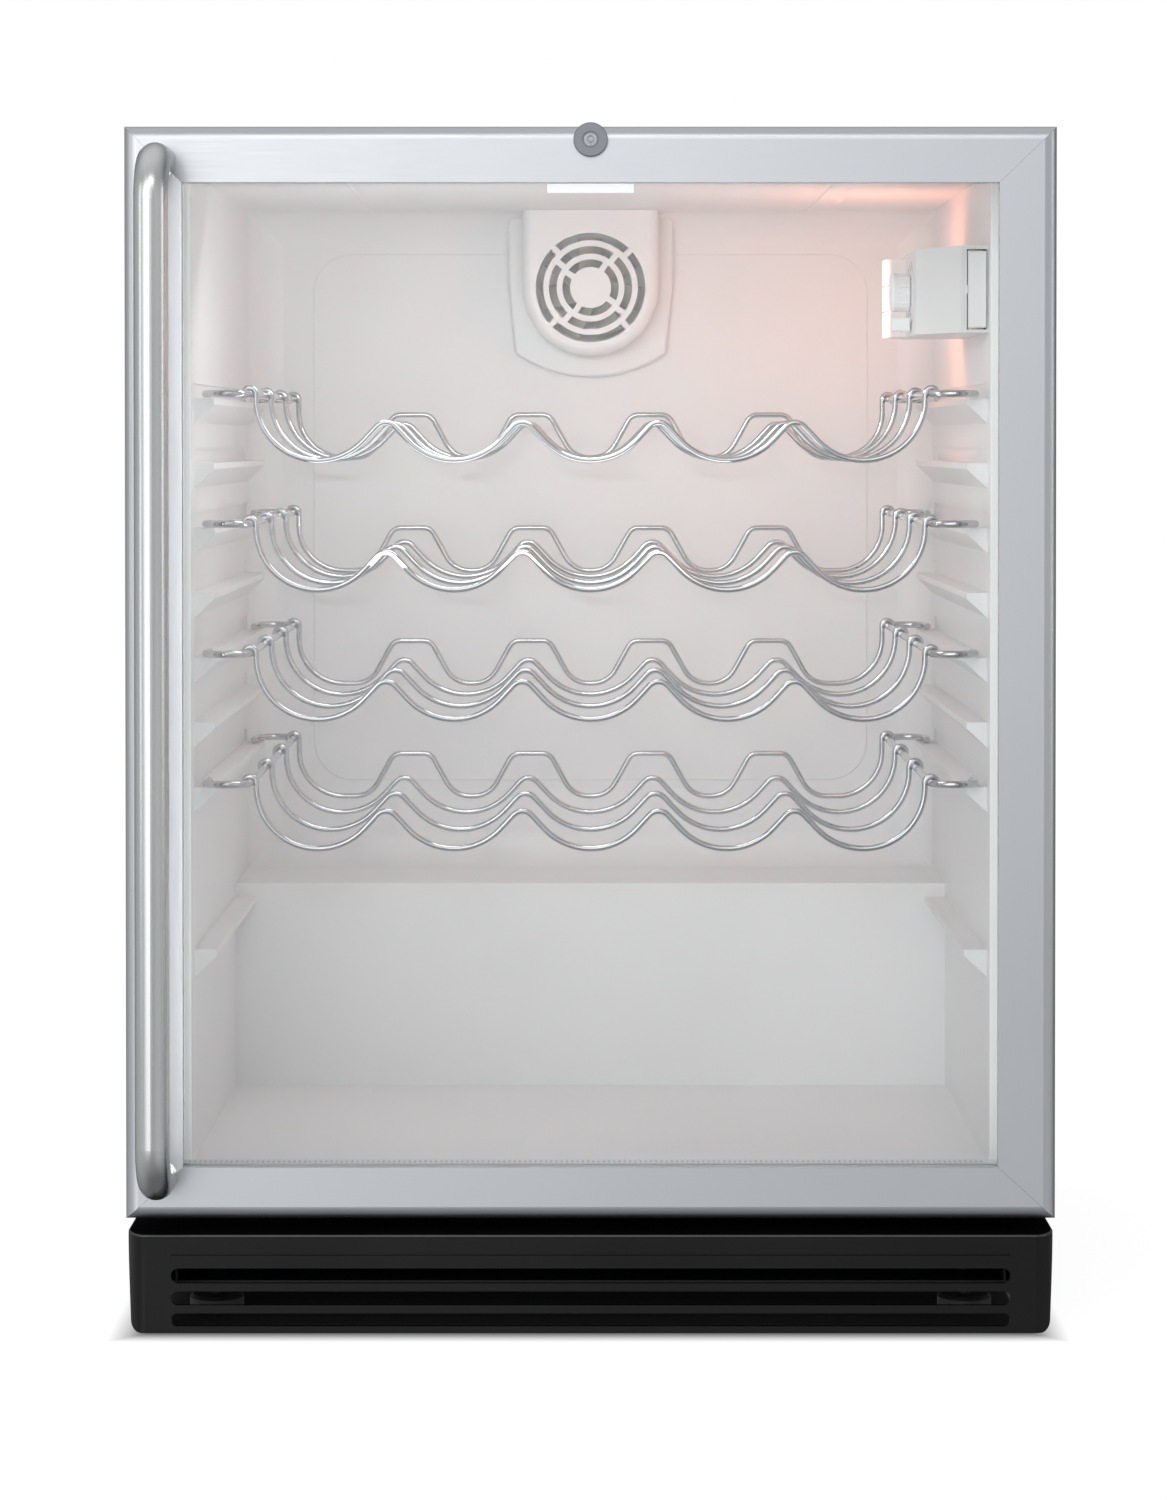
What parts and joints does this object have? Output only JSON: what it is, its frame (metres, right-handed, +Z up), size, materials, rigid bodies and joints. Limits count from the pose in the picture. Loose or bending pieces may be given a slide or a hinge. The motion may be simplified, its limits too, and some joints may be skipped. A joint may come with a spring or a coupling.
{
  "type": "wine cooler",
  "caption": "Built-under wine cooler with a framed glass door, bar handle, wire bottle racks and a black kick grille.",
  "frame": {"origin": "middle of the whole appliance's footprint, at floor level", "axes": "+X to the right seen from the front, +Y towards the back, +Z up; the door faces -Y"},
  "size_m": [0.6, 0.61, 0.782],
  "materials": {
    "door_frame": "fine-grained satin anodised",
    "cast_alloy": "cast",
    "clear_glass": "clear float glass",
    "spacer_metal": "perforated mill finish",
    "grey_bead": "matte",
    "gasket_rubber": "soft matte",
    "handle_steel": "satin, brushed lengthwise",
    "lock_metal": "matte grey",
    "bright_metal": "polished",
    "plated_steel": "zinc plated",
    "pin_steel": "ground",
    "bush_nylon": "natural nylon",
    "rack_chrome": "bright plated wire",
    "liner_plastic": "semi-gloss vacuum-formed sheet",
    "white_plastic": "fine-textured moulding",
    "lamp_diffuser": "translucent ribbed",
    "lamp_glass": "pearl",
    "dark_plastic": "matte",
    "impeller_plastic": "matte",
    "plinth_plastic": "matte fine texture",
    "cabinet_paint": "fine-textured black",
    "foam": "rigid foam",
    "galvanised": "galvanised",
    "foot_plastic": "matte",
    "evaporator": "roll-bond sheet",
    "compressor_paint": "gloss black",
    "grommet_rubber": "matte",
    "copper": "copper tube, slightly tarnished"
  },
  "bodies": {
    "cabinet": {"outer_wrapper": "cabinet_paint", "rear_panel": "cabinet_paint", "front_flange": "liner_plastic", "inner_liner": "liner_plastic", "foam_insulation": "foam", "evaporator_plate": "evaporator", "base_pan": "galvanised", "kick_grille": "plinth_plastic", "levelling_feet": "foot_plastic", "machine_cover": "galvanised", "cord_inlet": "dark_plastic", "wall_spacers": "foot_plastic", "cabinet_screws": "plated_steel", "door_switch_cover": "white_plastic", "hinge_plate_upper": "plated_steel", "hinge_plate_lower": "plated_steel", "hinge_pins": "pin_steel", "lock_keeper": "cast_alloy", "compressor": "compressor_paint", "compressor_grommets": "grommet_rubber", "compressor_bolts": "plated_steel", "terminal_cover": "dark_plastic", "condenser_coil": "compressor_paint", "condenser_fan_shroud": "dark_plastic", "condenser_fan_motor": "dark_plastic", "refrigerant_circuit": "copper", "evaporation_tray": "dark_plastic", "fan_base_plate": "white_plastic", "fan_cover": "white_plastic", "fan_motor": "dark_plastic", "control_housing": "white_plastic", "dial_plate": "white_plastic", "thermostat": "dark_plastic", "lamp_lens": "lamp_diffuser", "lamp_socket": "dark_plastic", "lamp_bulb": "lamp_glass"},
    "door": {"door_rail_top": "door_frame", "door_rail_bottom": "door_frame", "door_stile_left": "door_frame", "door_stile_right": "door_frame", "corner_keys": "cast_alloy", "hinge_bushes": "bush_nylon", "glass_front": "clear_glass", "glass_rear": "clear_glass", "glass_spacer": "spacer_metal", "glazing_bead": "grey_bead", "door_gasket": "gasket_rubber", "handle_bar": "handle_steel", "handle_studs": "plated_steel", "lock_housing": "lock_metal"},
    "lock_cylinder": {"lock_plug": "bright_metal", "lock_cam": "plated_steel"},
    "knob": {"thermostat_knob": "white_plastic"},
    "rocker": {"light_rocker": "white_plastic"},
    "circulation_fan": {"fan_impeller": "impeller_plastic"},
    "condenser_fan": {"condenser_fan_blade": "dark_plastic"},
    "rack_1": {"rack_1": "rack_chrome"},
    "rack_2": {"rack_2": "rack_chrome"},
    "rack_3": {"rack_3": "rack_chrome"},
    "rack_4": {"rack_4": "rack_chrome"}
  },
  "joints": [
    {"name": "door_hinge", "type": "hinge", "parent": "cabinet", "child": "door", "pos_m": [0.286, -0.232, 0.428], "axis": [0, 0, 1], "range_deg": [0, 105]},
    {"name": "lock_turn", "type": "hinge", "parent": "door", "child": "lock_cylinder", "pos_m": [0, -0.225, 0.771], "axis": [0, 1, 0], "range_deg": [0, 180]},
    {"name": "knob_turn", "type": "hinge", "parent": "cabinet", "child": "knob", "pos_m": [0.212, -0.087, 0.6794], "axis": [1, 0, 0], "range_deg": [-150, 150]},
    {"name": "rocker_tilt", "type": "hinge", "parent": "cabinet", "child": "rocker", "pos_m": [0.255, -0.1705, 0.678], "axis": [1, 0, 0], "range_deg": [-4, 4]},
    {"name": "circulation_fan_spin", "type": "hinge", "parent": "cabinet", "child": "circulation_fan", "pos_m": [0, 0.218, 0.6946], "axis": [0, 1, 0], "continuous": true},
    {"name": "condenser_fan_spin", "type": "hinge", "parent": "cabinet", "child": "condenser_fan", "pos_m": [-0.19, 0.187, 0.108], "axis": [0, 1, 0], "continuous": true},
    {"name": "rack_1_slide", "type": "slide", "parent": "cabinet", "child": "rack_1", "axis": [0, -1, 0], "range_m": [-0.012, 0.025]},
    {"name": "rack_2_slide", "type": "slide", "parent": "cabinet", "child": "rack_2", "axis": [0, -1, 0], "range_m": [-0.012, 0.025]},
    {"name": "rack_3_slide", "type": "slide", "parent": "cabinet", "child": "rack_3", "axis": [0, -1, 0], "range_m": [-0.012, 0.025]},
    {"name": "rack_4_slide", "type": "slide", "parent": "cabinet", "child": "rack_4", "axis": [0, -1, 0], "range_m": [-0.012, 0.025]}
  ]
}
